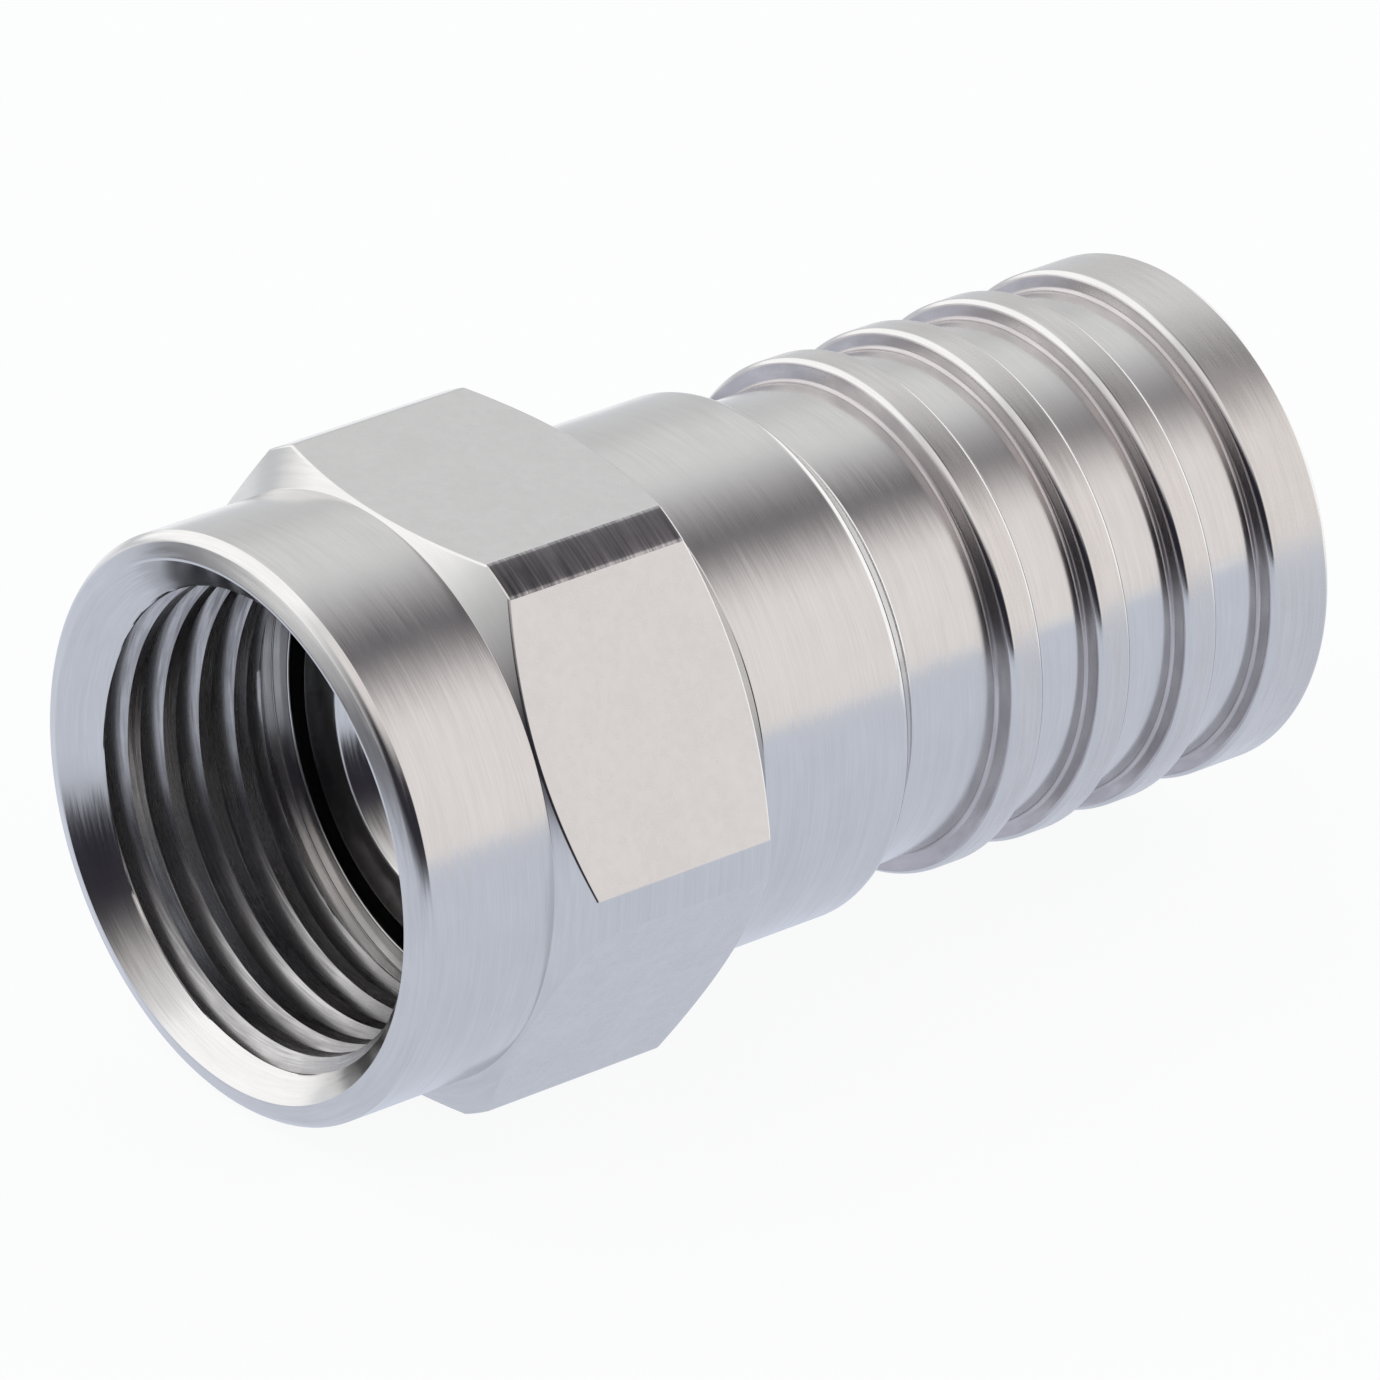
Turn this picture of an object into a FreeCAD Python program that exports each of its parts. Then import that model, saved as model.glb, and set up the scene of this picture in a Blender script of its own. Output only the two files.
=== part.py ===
import FreeCAD, Part
import math
import os

# Male F connector for coaxial cable, crimped type: a loose hexagon coupling nut is held
# captive between the flange of a tubular post and the crimp body pressed onto that post.
# All sizes are in millimetres. The common axis is Y: the mouth of the nut faces -Y and the
# cable comes out at +Y. The origin lies on the axis, in the front plane of the nut, and one
# flat of the hexagon faces straight down (-Z).

# Coupling nut, outside
NUT_LENGTH = 7.65
NUT_ACROSS_FLATS = 11.0
NUT_CORNER_DIAMETER = 12.3
HEX_SIDES = 6
COLLAR_DIAMETER = 10.9
COLLAR_LENGTH = 2.95
HEX_CHAMFER_ANGLE = 30.0
REAR_FACE_DIAMETER = 10.9
RIM_WIDTH = 0.485
RIM_FLAT = 0.04
RIM_SHOULDER_WIDTH = 0.10
RIM_FACE_ANGLE = 20.0
RIM_SHOULDER_ANGLE = 57.0

# Coupling nut, inside: 3/8-32 thread bored to its minor diameter, relief groove, pocket, lip
THREAD_MINOR_DIAMETER = 8.66
THREAD_END = 4.05
RELIEF_DIAMETER = 9.70
MOUTH_HALF_ANGLE = 45.0
LIP_THICKNESS = 1.70
LIP_EDGE_CHAMFER = 0.15

# Clearances that let the nut turn on the post
NUT_RUNNING_CLEARANCE = 0.08
NUT_PLAY_FRONT = 0.10
NUT_PLAY_REAR = 0.30
FLANGE_POCKET_CLEARANCE = 0.30
RELIEF_LEAD = 0.05

# Inner post
POST_BORE_DIAMETER = 4.90
POST_MOUTH_DIAMETER = 6.20
FLANGE_DIAMETER = 8.20
FLANGE_THICKNESS = 1.05
FLANGE_EDGE_CHAMFER = 0.12
POST_NECK_DIAMETER = 7.00
POST_SEAT_DIAMETER = 6.40
POST_TAIL_DIAMETER = 5.50
BARB_DIAMETER = 5.90
BARB_COUNT = 3
BARB_PITCH = 1.30
TAIL_TIP_WALL = 0.15
TAIL_RECESS = 0.70

# Crimp body
COLLAR_BAND_DIAMETER = 9.90
COLLAR_BAND_LENGTH = 3.45
COLLAR_FRONT_CHAMFER = 0.20
COLLAR_REAR_ANGLE = 45.0
NECK_DIAMETER = 8.88
NECK_LENGTH = 2.635
RIB_DIAMETER = 9.72
RIB_COUNT = 3
RIB_PITCH = 2.07
RIB_LAND = 0.60
RIB_EDGE_CHAMFER = 0.085
RIB_FACE_RUN = 0.025
GROOVE_DIAMETER = 9.00
GROOVE_SLOPE_ANGLE = 2.0
END_BAND_LENGTH = 1.355
END_BAND_CHAMFER = 0.12
SEAT_LENGTH = 3.05
SEAT_STEP_ANGLE = 45.0
CABLE_BORE_DIAMETER = 8.00
CABLE_BORE_CHAMFER = 0.25

# Places along the axis, worked out from the sizes above
LIP_FRONT = NUT_LENGTH - LIP_THICKNESS
FLANGE_REAR = LIP_FRONT - NUT_PLAY_FRONT
FLANGE_FRONT = FLANGE_REAR - FLANGE_THICKNESS
RELIEF_END = FLANGE_FRONT - RELIEF_LEAD
BODY_FRONT = NUT_LENGTH + NUT_PLAY_REAR
COLLAR_BAND_END = BODY_FRONT + COLLAR_BAND_LENGTH
SEAT_END = BODY_FRONT + SEAT_LENGTH
FIRST_RIB = COLLAR_BAND_END + NECK_LENGTH
END_BAND_START = FIRST_RIB + RIB_COUNT * RIB_PITCH
BODY_END = END_BAND_START + END_BAND_LENGTH
TAIL_END = BODY_END - TAIL_RECESS


def run_for_rise(rise, angle_from_axis):
    """Length along the axis over which a cone of the given angle changes radius by rise."""
    return rise / math.tan(math.radians(angle_from_axis))


def turned(outline):
    """Solid of revolution about Y from the (radius, station) corners of a closed outline."""
    corners = [FreeCAD.Vector(radius, station, 0) for radius, station in outline]
    face = Part.Face(Part.makePolygon(corners + corners[:1]))
    return face.revolve(FreeCAD.Vector(0, 0, 0), FreeCAD.Vector(0, 1, 0), 360)


def hexagon_bar():
    """Hexagon prism along Y, longer than the nut, with one flat facing -Z."""
    corner_radius = NUT_ACROSS_FLATS / 2 / math.cos(math.pi / HEX_SIDES)
    corners = []
    for i in range(HEX_SIDES + 1):
        angle = i * 2 * math.pi / HEX_SIDES
        corners.append(FreeCAD.Vector(corner_radius * math.cos(angle), 0, corner_radius * math.sin(angle)))
    bar = Part.Face(Part.makePolygon(corners)).extrude(FreeCAD.Vector(0, 3 * NUT_LENGTH, 0))
    bar.translate(FreeCAD.Vector(0, -NUT_LENGTH, 0))
    return bar


def nut_blank():
    """Outside of the nut as turned from round bar, before the flats are cut."""
    collar = COLLAR_DIAMETER / 2
    corner = NUT_CORNER_DIAMETER / 2
    rear = REAR_FACE_DIAMETER / 2
    rim = collar - RIM_WIDTH + RIM_FLAT
    shoulder = collar - RIM_SHOULDER_WIDTH
    shoulder_front = run_for_rise(shoulder - rim, 90 - RIM_FACE_ANGLE)
    collar_front = shoulder_front + run_for_rise(collar - shoulder, 90 - RIM_SHOULDER_ANGLE)
    slope = 90 - HEX_CHAMFER_ANGLE
    front_corner = COLLAR_LENGTH + run_for_rise(corner - collar, slope)
    rear_corner = NUT_LENGTH - run_for_rise(corner - rear, slope)
    return turned([
        (0, 0),
        (rim, 0),
        (shoulder, shoulder_front),
        (collar, collar_front),
        (collar, COLLAR_LENGTH),
        (corner, front_corner),
        (corner, rear_corner),
        (rear, NUT_LENGTH),
        (0, NUT_LENGTH),
    ])


def nut_bore():
    """Everything that is bored out of the nut, from its mouth to its rear face."""
    mouth = COLLAR_DIAMETER / 2 - RIM_WIDTH
    minor = THREAD_MINOR_DIAMETER / 2
    relief = RELIEF_DIAMETER / 2
    pocket = FLANGE_DIAMETER / 2 + FLANGE_POCKET_CLEARANCE
    lip = POST_NECK_DIAMETER / 2 + NUT_RUNNING_CLEARANCE
    return turned([
        (0, -NUT_LENGTH),
        (mouth, -NUT_LENGTH),
        (mouth, 0),
        (minor, run_for_rise(mouth - minor, MOUTH_HALF_ANGLE)),
        (minor, THREAD_END),
        (relief, THREAD_END + relief - minor),
        (relief, RELIEF_END),
        (pocket, RELIEF_END),
        (pocket, LIP_FRONT),
        (lip, LIP_FRONT),
        (lip, NUT_LENGTH - LIP_EDGE_CHAMFER),
        (lip + LIP_EDGE_CHAMFER, NUT_LENGTH),
        (lip + LIP_EDGE_CHAMFER, 2 * NUT_LENGTH),
        (0, 2 * NUT_LENGTH),
    ])


def coupling_nut():
    """Hexagon coupling nut with its round collar, threaded bore and retaining lip."""
    return nut_blank().common(hexagon_bar()).cut(nut_bore())


def barb_corners():
    """Corners of the saw-tooth barbs, from the front one to the tip of the tail."""
    tail = POST_TAIL_DIAMETER / 2
    tip = POST_BORE_DIAMETER / 2 + TAIL_TIP_WALL
    barb = BARB_DIAMETER / 2
    first = TAIL_END - BARB_COUNT * BARB_PITCH
    corners = []
    for i in range(BARB_COUNT):
        corners.append((tail, first + i * BARB_PITCH))
        corners.append((barb, first + i * BARB_PITCH))
    corners.append((tip, TAIL_END))
    return corners


def inner_post():
    """Tubular post with its front flange, nut seat, press seat and barbed tail."""
    bore = POST_BORE_DIAMETER / 2
    mouth = POST_MOUTH_DIAMETER / 2
    flange = FLANGE_DIAMETER / 2
    neck = POST_NECK_DIAMETER / 2
    seat = POST_SEAT_DIAMETER / 2
    tail = POST_TAIL_DIAMETER / 2
    return turned([
        (bore, FLANGE_FRONT + mouth - bore),
        (mouth, FLANGE_FRONT),
        (flange - FLANGE_EDGE_CHAMFER, FLANGE_FRONT),
        (flange, FLANGE_FRONT + FLANGE_EDGE_CHAMFER),
        (flange, FLANGE_REAR),
        (neck, FLANGE_REAR),
        (neck, BODY_FRONT),
        (seat, BODY_FRONT),
        (seat, SEAT_END),
        (tail, SEAT_END + run_for_rise(seat - tail, SEAT_STEP_ANGLE)),
        *barb_corners(),
        (bore, TAIL_END),
    ])


def rib_front(floor, land_front):
    """Corners of a rib's front, from the floor ahead of it up to the edge of its land."""
    rib = RIB_DIAMETER / 2
    return [
        (floor, land_front - RIB_EDGE_CHAMFER - RIB_FACE_RUN),
        (rib - RIB_EDGE_CHAMFER, land_front - RIB_EDGE_CHAMFER),
        (rib, land_front),
    ]


def rib_rear(land_rear):
    """Corners of a rib's rear, from the edge of its land down to the sloping groove floor."""
    rib = RIB_DIAMETER / 2
    face_run = RIB_EDGE_CHAMFER + RIB_FACE_RUN
    floor_length = RIB_PITCH - RIB_LAND - 2 * face_run
    floor_rise = floor_length * math.tan(math.radians(GROOVE_SLOPE_ANGLE))
    return [
        (rib, land_rear),
        (rib - RIB_EDGE_CHAMFER, land_rear + RIB_EDGE_CHAMFER),
        (GROOVE_DIAMETER / 2 + floor_rise, land_rear + face_run),
    ]


def rib_corners():
    """Corners of the bevelled crimp ribs, from the neck to the plain end band."""
    floor = NECK_DIAMETER / 2
    corners = []
    for i in range(RIB_COUNT):
        land_front = FIRST_RIB + i * RIB_PITCH
        corners += rib_front(floor, land_front)
        corners += rib_rear(land_front + RIB_LAND)
        floor = GROOVE_DIAMETER / 2
    return corners + rib_front(floor, END_BAND_START)


def crimp_body():
    """Crimp body: round collar band, neck and ribbed barrel around the tail of the post."""
    band = COLLAR_BAND_DIAMETER / 2
    neck = NECK_DIAMETER / 2
    rib = RIB_DIAMETER / 2
    seat = POST_SEAT_DIAMETER / 2
    cable = CABLE_BORE_DIAMETER / 2
    neck_start = COLLAR_BAND_END + run_for_rise(band - neck, COLLAR_REAR_ANGLE)
    return turned([
        (seat, BODY_FRONT),
        (band - COLLAR_FRONT_CHAMFER, BODY_FRONT),
        (band, BODY_FRONT + COLLAR_FRONT_CHAMFER),
        (band, COLLAR_BAND_END),
        (neck, neck_start),
        *rib_corners(),
        (rib, BODY_END - END_BAND_CHAMFER),
        (rib - END_BAND_CHAMFER, BODY_END),
        (cable + CABLE_BORE_CHAMFER, BODY_END),
        (cable, BODY_END - CABLE_BORE_CHAMFER),
        (cable, SEAT_END + run_for_rise(cable - seat, SEAT_STEP_ANGLE)),
        (seat, SEAT_END),
    ])


def export_part(name, shape):
    """Write one piece to its own STEP file."""
    shape.exportStep("parts/" + name + ".step")


def main():
    """Build and write the three pieces of the connector."""
    os.makedirs("parts", exist_ok=True)
    export_part("coupling_nut", coupling_nut())
    export_part("inner_post", inner_post())
    export_part("crimp_body", crimp_body())


if __name__ == "__main__":
    main()
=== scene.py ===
"""Looks of a crimped male F connector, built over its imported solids.

The three turned pieces are modelled again with their fine detail: the coupling nut with its
screw thread and eased hexagon edges, the flanged inner post, and the ribbed crimp body.
Lengths in the profiles are in millimetres and become metres in the meshes.
"""

import logging
import math
from dataclasses import dataclass, field
from enum import Enum

import bmesh
import bpy
from mathutils import Matrix, Vector

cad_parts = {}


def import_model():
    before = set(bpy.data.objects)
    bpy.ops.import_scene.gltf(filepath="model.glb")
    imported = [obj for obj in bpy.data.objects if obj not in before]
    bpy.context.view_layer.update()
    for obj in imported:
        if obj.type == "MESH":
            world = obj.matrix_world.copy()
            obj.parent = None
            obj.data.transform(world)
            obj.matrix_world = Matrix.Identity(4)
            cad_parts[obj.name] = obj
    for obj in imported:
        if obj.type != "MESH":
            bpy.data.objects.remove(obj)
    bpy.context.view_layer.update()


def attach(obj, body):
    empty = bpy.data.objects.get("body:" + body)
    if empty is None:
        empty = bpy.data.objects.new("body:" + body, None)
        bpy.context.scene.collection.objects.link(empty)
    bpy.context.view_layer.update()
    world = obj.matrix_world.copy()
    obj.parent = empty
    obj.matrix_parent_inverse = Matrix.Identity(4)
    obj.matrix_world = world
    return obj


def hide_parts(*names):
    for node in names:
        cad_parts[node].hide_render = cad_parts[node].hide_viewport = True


LOG = logging.getLogger("f_connector")
MM = 0.001
ENLARGED = 10000.0
AXIS = Vector((0.0, 1.0, 0.0))
CLOUDS = (1100.0, 1300.0, 1100.0)
WHITE = (1.0, 1.0, 1.0)

Colour = tuple[float, float, float]
SoftEdge = tuple[float, float]
Socket = bpy.types.NodeSocket


class Body(Enum):
    """The rigid bodies that pieces ride on."""

    NUT = "nut"
    SLEEVE = "crimp_body"


class Shade(Enum):
    """Which finish of a piece a face takes."""

    TURNED = 0
    SMOOTH = 1
    # WORN_OR_SHADED holds real wear on the sleeve's lands and painted shade on one of the nut's corners.
    WORN_OR_SHADED = 2
    # ROUGH_AND_SHADED is rough cutting with painted shade in its darker colour.
    ROUGH_AND_SHADED = 3
    MILLED = 4


@dataclass(frozen=True)
class Corner:
    """One corner of a turned profile.

    Attributes:
        radius: Distance from the axis, in millimetres.
        station: Place along the axis, in millimetres.
        ease: How far back the corner is rounded on each side, in millimetres.
        steps: Facets across the rounding.
    """

    radius: float
    station: float
    ease: float = 0.0
    steps: int = 3


class NodeGraph:
    """A short way to write a shader's nodes."""

    def __init__(self, tree: bpy.types.NodeTree) -> None:
        """Start from an empty tree."""
        self.tree = tree
        tree.nodes.clear()

    def add(self, kind: str, **settings: object) -> bpy.types.Node:
        """Add a node and set its properties.

        Args:
            kind: Blender's class name of the node, without the ShaderNode prefix.
            **settings: Properties of the node.

        Returns:
            The new node.
        """
        node = self.tree.nodes.new("ShaderNode" + kind)
        for name, value in settings.items():
            setattr(node, name, value)
        return node

    def feed(self, socket: Socket, value: object) -> None:
        """Give a socket a constant or the output of another node."""
        if isinstance(value, Socket):
            self.tree.links.new(value, socket)
        else:
            socket.default_value = value

    def wire(self, node: bpy.types.Node, **values: object) -> bpy.types.Node:
        """Give several of a node's inputs their values, by name, with _ for a space."""
        for name, value in values.items():
            self.feed(node.inputs[name.replace("_", " ")], value)
        return node

    def maths(self, operation: str, *values: object, kind: str = "Math") -> Socket:
        """Combine numbers, or vectors.

        Args:
            operation: Name of the node's operation.
            *values: Values or sockets, in the node's order.
            kind: Math for numbers and VectorMath for vectors.

        Returns:
            The result's socket.
        """
        node = self.add(kind, operation=operation)
        for socket, value in zip(node.inputs, values):
            self.feed(socket, value)
        return node.outputs[0]

    def length_of(self, first: object, second: object) -> Socket:
        """Length of a direction's part in a plane."""
        squares = (self.product(first, first), self.product(second, second))
        return self.maths("SQRT", self.maths("ADD", *squares))

    def product(self, first: object, *others: object) -> Socket:
        """Multiply numbers together."""
        for other in others:
            first = self.maths("MULTIPLY", first, other)
        return first

    def share_out(self, first: object, share: float, second: object) -> Socket:
        """Average two numbers, with the first one's share given."""
        return self.maths("ADD", self.product(first, share), self.product(second, 1.0 - share))

    def step(self, value: Socket, low: float, high: float) -> Socket:
        """Ease from 0 to 1 while the value goes from low to high.

        Args:
            value: The number that is read.
            low: Where the result is 0.
            high: Where the result is 1.

        Returns:
            The eased number's socket.
        """
        node = self.add("MapRange", interpolation_type="SMOOTHSTEP")
        return self.wire(node, Value=value, From_Min=low, From_Max=high).outputs["Result"]

    def scale_to(
        self, value: Socket, low: float, high: float, start: float = 0.3, end: float = 0.7
    ) -> Socket:
        """Stretch a noise value over a new range.

        Args:
            value: The noise value.
            low: Result at start.
            high: Result at end.
            start: Noise value that gives low.
            end: Noise value that gives high.

        Returns:
            The new number's socket.
        """
        node = self.add("MapRange", clamp=True)
        self.wire(node, Value=value, From_Min=start, From_Max=end, To_Min=low, To_Max=high)
        return node.outputs["Result"]

    def blend(self, factor: object, first: object, second: object) -> Socket:
        """Mix two colours.

        Args:
            factor: 0 gives the first colour and 1 the second.
            first: Colour or socket.
            second: Colour or socket.

        Returns:
            The mixed colour's socket.
        """
        node = self.add("Mix", data_type="RGBA")
        self.feed(node.inputs[0], factor)
        for socket, colour in zip(node.inputs[6:8], (first, second)):
            self.feed(socket, (*colour, 1.0) if isinstance(colour, tuple) else colour)
        return node.outputs[2]

    def noise(
        self,
        place: Socket,
        scale: tuple[float, float, float],
        detail: float,
        roughness: float,
    ) -> Socket:
        """Noise whose grain can be longer one way than another.

        Args:
            place: Coordinates in metres.
            scale: Grains to the metre along X, Y and Z.
            detail: Octaves of finer grain.
            roughness: Weight of the finer octaves.

        Returns:
            The noise value's socket.
        """
        mapping = self.wire(self.add("Mapping"), Vector=place, Scale=scale)
        texture = self.add("TexNoise")
        self.wire(texture, Vector=mapping.outputs[0], Scale=1.0, Detail=detail, Roughness=roughness)
        return texture.outputs[0]

    def plate(self, tint: Socket, dullness: Socket, height: Socket, depth: float) -> bpy.types.Node:
        """Finish the nodes of a plated metal.

        Args:
            tint: The plate's colour.
            dullness: Its roughness.
            height: Pattern of its marks.
            depth: Depth of the marks, in millimetres.

        Returns:
            The node that gives the marks their relief.
        """
        bump = self.wire(self.add("Bump"), Strength=1.0, Distance=depth * MM, Height=height)
        shader = self.add("BsdfPrincipled")
        self.wire(shader, Metallic=1.0, Base_Color=tint, Roughness=dullness, Normal=bump.outputs[0])
        self.wire(self.add("OutputMaterial"), Surface=shader.outputs[0])
        return bump


@dataclass(frozen=True)
class TurnedNickel:
    """Nickel plate over a turned surface, with fine marks around the axis.

    Attributes:
        name: Name of the material.
        colour: Colour of the plate where it is clean.
        groove_colour: Colour in the deepest turning marks.
        line_width: Width of the finest marks along the axis, in millimetres.
        line_length: Length of a mark around the axis, in millimetres.
        smoothest: Roughness of the smoothest streaks.
        roughest: Roughness of the roughest streaks.
        depth: Depth of the marks, in millimetres.
        waver: Slope of the marks around the axis.
    """

    name: str
    colour: Colour = (0.650, 0.645, 0.640)
    groove_colour: Colour = (0.600, 0.593, 0.587)
    line_width: float = 0.030
    line_length: float = 1.1
    smoothest: float = 0.15
    roughest: float = 0.23
    depth: float = 0.0006
    waver: float = 0.030

    def material(self) -> bpy.types.Material:
        """Make the node material.

        Returns:
            The new material.
        """
        made = bpy.data.materials.new(self.name)
        made.use_nodes = True
        graph = NodeGraph(made.node_tree)
        place = graph.add("TexCoord").outputs["Object"]
        around = 1.0 / (self.line_length * MM)
        along = 1.0 / (self.line_width * MM)
        fine = graph.noise(place, (around, along, around), 2.0, 0.6)
        wide = graph.noise(place, (around * 0.4, along * 0.22, around * 0.4), 3.0, 0.55)
        cloud = graph.noise(place, CLOUDS, 3.0, 0.55)
        lines = graph.share_out(fine, 0.6, wide)
        wear = graph.share_out(lines, 0.75, cloud)
        clean = graph.scale_to(wear, 0.0, 1.0, 0.36, 0.60)
        tint = graph.blend(clean, self.groove_colour, self.colour)
        dullness = graph.scale_to(wear, self.roughest, self.smoothest, 0.36, 0.64)
        bump = graph.plate(tint, dullness, lines, self.depth)
        graph.feed(bump.inputs["Normal"], self.lean(graph, place, lines))
        return made

    def lean(
        self, graph: NodeGraph, place: Socket, lines: Socket
    ) -> Socket:
        """Tip the surface a little around the axis, by a different amount in each mark.

        Args:
            graph: The material's nodes.
            place: Coordinates on the piece.
            lines: Noise of the marks.

        Returns:
            The tipped normal's socket.
        """
        split = graph.wire(graph.add("SeparateXYZ"), Vector=place).outputs
        ahead = graph.add("CombineXYZ")
        graph.wire(ahead, X=split["Z"], Z=graph.product(split["X"], -1.0))
        level = graph.maths("NORMALIZE", ahead.outputs[0], kind="VectorMath")
        turned = graph.add(
            "VectorTransform", vector_type="VECTOR", convert_from="OBJECT", convert_to="WORLD"
        )
        graph.feed(turned.inputs[0], level)
        tipped = graph.add("VectorMath", operation="SCALE")
        graph.feed(tipped.inputs[0], turned.outputs[0])
        graph.feed(tipped.inputs["Scale"], graph.scale_to(lines, -self.waver, self.waver))
        plain = graph.add("NewGeometry").outputs["Normal"]
        joined = graph.maths("ADD", plain, tipped.outputs[0], kind="VectorMath")
        return graph.maths("NORMALIZE", joined, kind="VectorMath")


@dataclass(frozen=True)
class MilledNickel:
    """Nickel plate over a milled flat: satin, very faintly mottled and without lines.

    Attributes:
        name: Name of the material.
        colour: Colour of the plate where it is clean.
        dull_colour: Colour of the duller patches.
        grain: Size of the mottling, in millimetres.
        smoothest: Roughness of the smoothest patches.
        roughest: Roughness of the dullest patches.
        depth: Depth of the mottling, in millimetres.
    """

    name: str
    colour: Colour = (0.640, 0.636, 0.632)
    dull_colour: Colour = (0.612, 0.607, 0.602)
    grain: float = 0.20
    smoothest: float = 0.22
    roughest: float = 0.30
    depth: float = 0.0006

    def material(self) -> bpy.types.Material:
        """Make the node material.

        Returns:
            The new material.
        """
        made = bpy.data.materials.new(self.name)
        made.use_nodes = True
        graph = NodeGraph(made.node_tree)
        place = graph.add("TexCoord").outputs["Object"]
        grains = 1.0 / (self.grain * MM)
        mottle = graph.noise(place, (grains, grains, grains), 3.0, 0.55)
        patch = graph.noise(place, (grains * 0.22,) * 3, 3.0, 0.6)
        wear = graph.share_out(mottle, 0.55, patch)
        clean = graph.scale_to(wear, 0.0, 1.0, 0.35, 0.65)
        tint = graph.blend(clean, self.dull_colour, self.colour)
        dullness = graph.scale_to(wear, self.roughest, self.smoothest, 0.35, 0.65)
        graph.plate(tint, dullness, mottle, self.depth)
        return made


def nickel_set(
    piece: str, worn_or_shaded: TurnedNickel | None = None, rough_and_shaded: TurnedNickel | None = None
) -> list[bpy.types.Material]:
    """The finishes of one piece, in the order of Shade.

    Args:
        piece: First word of the materials' names.
        worn_or_shaded: The worn finish, or one with painted shade, where the usual one doesn't fit.
        rough_and_shaded: The finish for the roughest cuts, whose darker colour is painted shade, where the
            usual one doesn't fit.

    Returns:
        The new materials.
    """
    usual_worn = TurnedNickel(
        piece + "_worn_nickel",
        colour=(0.655, 0.640, 0.628),
        groove_colour=(0.585, 0.568, 0.552),
        smoothest=0.20,
        roughest=0.32,
        waver=0.040,
    )
    # Painted shade: the thread's darker colour stands in for the shade inside the bore; its roughness is
    # the tap's cut.
    usual_shaded_thread = TurnedNickel(
        piece + "_tapped_nickel",
        colour=(0.500, 0.492, 0.492),
        groove_colour=(0.270, 0.262, 0.270),
        smoothest=0.20,
        roughest=0.36,
        waver=0.050,
    )
    smooth = TurnedNickel(
        piece + "_smooth_nickel", smoothest=0.12, roughest=0.18, waver=0.008, line_width=0.05
    )
    return [
        TurnedNickel(piece + "_turned_nickel").material(),
        smooth.material(),
        (worn_or_shaded or usual_worn).material(),
        (rough_and_shaded or usual_shaded_thread).material(),
        MilledNickel(piece + "_milled_nickel").material(),
    ]


def spin_round(
    mesh: bmesh.types.BMesh,
    outline: list[bmesh.types.BMVert | bmesh.types.BMEdge],
    steps: int,
    rise: float = 0.0,
) -> None:
    """Spin an outline once around the axis.

    Args:
        mesh: The mesh that the outline is in.
        outline: Its points and edges.
        steps: Facets around the axis.
        rise: Advance along the axis, in millimetres. Without one the ends are joined.
    """
    bmesh.ops.spin(
        mesh,
        geom=outline,
        cent=(0.0, 0.0, 0.0),
        axis=AXIS,
        dvec=AXIS * (rise / steps * MM),
        angle=2.0 * math.pi,
        steps=steps,
        use_merge=rise == 0.0,
    )


def turn_of(place: Vector) -> float:
    """Direction of a place round the axis, in degrees from +X."""
    return math.degrees(math.atan2(place.z, place.x))


def put(vertex: bmesh.types.BMVert, radius: float, station: float) -> None:
    """Move a vertex to a radius and a place along the axis, in millimetres."""
    outward = Vector((vertex.co.x, 0.0, vertex.co.z)).normalized() * radius
    vertex.co = Vector((outward.x, station, outward.z)) * MM


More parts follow.
